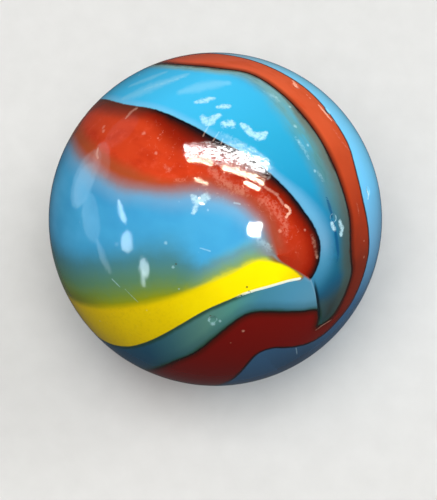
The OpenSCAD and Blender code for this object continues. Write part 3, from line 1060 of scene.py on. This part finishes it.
def wear_and_highlights_over_glass(g, f, colour):
    """Pale wear, painted highlights and dark specks over the colours; also how strongly wear and
    highlights show.
    """
    wear_and_highlights, *others = wear_and_highlight_marks(g, f)
    for mark in others:
        wear_and_highlights = g.math("MAXIMUM", wear_and_highlights, mark)
    on_red = g.math("MAXIMUM", g.fade(f.wide, -0.1, 0.1), g.fade(f.long, -0.1, 0.1))
    wear_and_highlight_colour = g.mix(on_red, PALE_WEAR_AND_HIGHLIGHT_BLUE, PALE_WEAR_AND_HIGHLIGHT_RED)
    # Pale wear and painted highlights over the colours
    colour = g.mix(g.times(wear_and_highlights, g.blend(on_red, 1.0, 0.8)), colour, wear_and_highlight_colour)
    speck = g.times(g.fade(g.field("speck"), 0.0, 0.6), 0.75)
    return g.mix(speck, colour, SPECK_BROWN), wear_and_highlights


def glass_finish(g, f, wear_and_highlights):
    """How rough the glass is, and its ripples; both are coarser where the ball is most worn."""
    rough_place = g.fade(g.field("rough"), -0.2, 0.6)
    ripple = g.times(g.noise(f.at, 5, 3, 0.6), g.blend(rough_place, 1.0, 3.2))
    ripple = g.plus(ripple, g.noise(f.at, 1.2, 1, 0.5), 3.0)
    bump = g.node("ShaderNodeBump", {"Height": ripple, "Strength": 1.0, "Distance": RIPPLE_DEPTH * MM})
    stretched = g.node("ShaderNodeMapping", {"Vector": f.at, **CRACK_GRAIN}).outputs[0]
    cracks = g.noise(stretched, 3.2, 5, 0.7)
    chips = g.times(g.fade(g.math("ABSOLUTE", g.minus(cracks, 0.5)), 0.05, 0.018), rough_place)
    roughness = g.plus(g.plus(POLISH, wear_and_highlights, 0.15), g.fade(f.grain, 0.4, 0.8), 0.03)
    return g.plus(roughness, chips, 0.8), bump.outputs["Normal"]


def glass_material():
    g = Graph("marble_glass")
    f = swirl_fields(g)
    colour = blue_glass(g, f)
    layers = (
        lane_right_of_wide_red,
        shade_above_yellow,
        lane_below_yellow,
        smoke_left_of_long_red,
        strip_right_of_long_red,
        yellow_glass,
        highlight_line_by_yellow,
        long_red_glass,
        smoke_left_of_wide_red,
        wide_red_glass,
        streams_and_creases,
    )
    for layer in layers:
        colour = layer(g, f, colour)
    colour, wear_and_highlights = wear_and_highlights_over_glass(g, f, colour)
    roughness, normal = glass_finish(g, f, wear_and_highlights)
    look = {"Base Color": colour, "Roughness": roughness, "Normal": normal}
    shader = g.node("ShaderNodeBsdfPrincipled", {**look, "IOR": IOR, "Specular IOR Level": GLOSS})
    g.put(g.output.inputs["Surface"], shader.outputs[0])
    return g.material


def make_floor():
    """A wide pale floor that touches the ball from below."""
    mesh = bpy.data.meshes.new("floor")
    corners = [(x * FLOOR_HALF, y * FLOOR_HALF, low.z) for x, y in ((-1, -1), (1, -1), (1, 1), (-1, 1))]
    mesh.from_pydata(corners, [], [(0, 1, 2, 3)])
    floor = bpy.data.objects.new("floor", mesh)
    bpy.context.scene.collection.objects.link(floor)
    g = Graph("floor_card")
    grain = g.noise(g.node("ShaderNodeTexCoord").outputs["Object"], FLOOR_GRAIN, 3, 0.5)
    card = {"Base Color": g.mix(grain, *FLOOR_GREYS), "Roughness": 0.9, "Specular IOR Level": 0.1}
    shader = g.node("ShaderNodeBsdfPrincipled", card)
    g.put(g.output.inputs["Surface"], shader.outputs[0])
    mesh.materials.append(g.material)
    # The glass neither mirrors the floor nor takes its light, so its colours stay deep
    floor.visible_glossy = False
    floor.visible_diffuse = False


def make_camera():
    """The camera, where the picture was taken from."""
    place, right, up, forward = camera_axes()
    data = bpy.data.cameras.new("camera")
    data.lens = CAMERA_LENS
    data.sensor_width = SENSOR
    data.clip_start, data.clip_end = CLIP_NEAR, CLIP_FAR
    camera = bpy.data.objects.new("camera", data)
    camera.matrix_world = Matrix((right, up, -forward)).transposed().to_4x4()
    camera.location = place
    bpy.context.scene.collection.objects.link(camera)
    bpy.context.scene.camera = camera


def add_lamp(name, place, size, power, colour=WHITE, long_axis=Vector((1, 0, 0)), shape="RECTANGLE"):
    """A lamp at place that faces the ball, its first side along long_axis."""
    data = bpy.data.lights.new(name, "AREA")
    data.shape = shape
    data.size, data.size_y = size
    data.energy = power
    data.color = colour
    lamp = bpy.data.objects.new(name, data)
    z = place.normalized()
    x = (long_axis - z * long_axis.dot(z)).normalized()
    lamp.matrix_world = Matrix((x, z.cross(x), z)).transposed().to_4x4()
    lamp.location = place
    bpy.context.scene.collection.objects.link(lamp)
    return lamp


def add_glint(name, ends, width, brightness, colour):
    """A lamp that only shows in the glass, as a bar of that width between two pixels, or as an
    oval if it has the colour of the sky."""
    one, other = (Vector(pixel) for pixel in ends)
    middle, aside = (one + other) / 2, (other - one).orthogonal().normalized() * width / 2
    a, b = mirrored(one) * LAMP_REACH, mirrored(other) * LAMP_REACH
    across = (mirrored(middle + aside) - mirrored(middle - aside)) * LAMP_REACH
    size = ((a - b).length, across.length)
    shape, fullness = ("ELLIPSE", math.pi / 4) if colour == SKY else ("RECTANGLE", 1)
    power = 4 * size[0] * size[1] * fullness * brightness / SHINE
    lamp = add_lamp(name, mirrored(middle) * LAMP_REACH, size, power, colour, a - b, shape)
    lamp.visible_diffuse = False
    lamp.visible_camera = False


def add_soft_light(name, direction, size, level):
    """A wide lamp that lights a surface facing it at that level and doesn't show in the glass."""
    place = Vector(direction).normalized() * LAMP_REACH
    lamp = add_lamp(name, place, (size, size), 4 * math.pi * LAMP_REACH**2 * level)
    lamp.visible_glossy = False


def light_room():
    """A pale room, which the glass mirrors at a lower level than the room lights it."""
    world = bpy.data.worlds.new("studio")
    bpy.context.scene.world = world
    world.use_nodes = True
    nodes, links = world.node_tree.nodes, world.node_tree.links
    back = nodes["Background"]
    back.inputs["Color"].default_value = ROOM_TINT
    rays = nodes.new("ShaderNodeLightPath")
    level = nodes.new("ShaderNodeMapRange")
    level.inputs["To Min"].default_value = ROOM_LEVEL
    level.inputs["To Max"].default_value = MIRRORED_ROOM_LEVEL
    links.new(rays.outputs["Is Glossy Ray"], level.inputs["Value"])
    links.new(level.outputs["Result"], back.inputs["Strength"])


def make_lights():
    """The soft lights, the glints and the room."""
    for name, (direction, size, level) in SOFT_LIGHTS.items():
        add_soft_light(name, direction, size, level)
    for k, (one, other, width, brightness, colour) in enumerate(GLINTS):
        add_glint(f"glint_{k}", (one, other), width, brightness, colour)
    light_room()


ball = make_ball()
ball.data.materials.append(glass_material())
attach(ball, "root")
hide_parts("marble")
make_floor()
make_camera()
make_lights()
bpy.context.scene.view_settings.view_transform = "Standard"
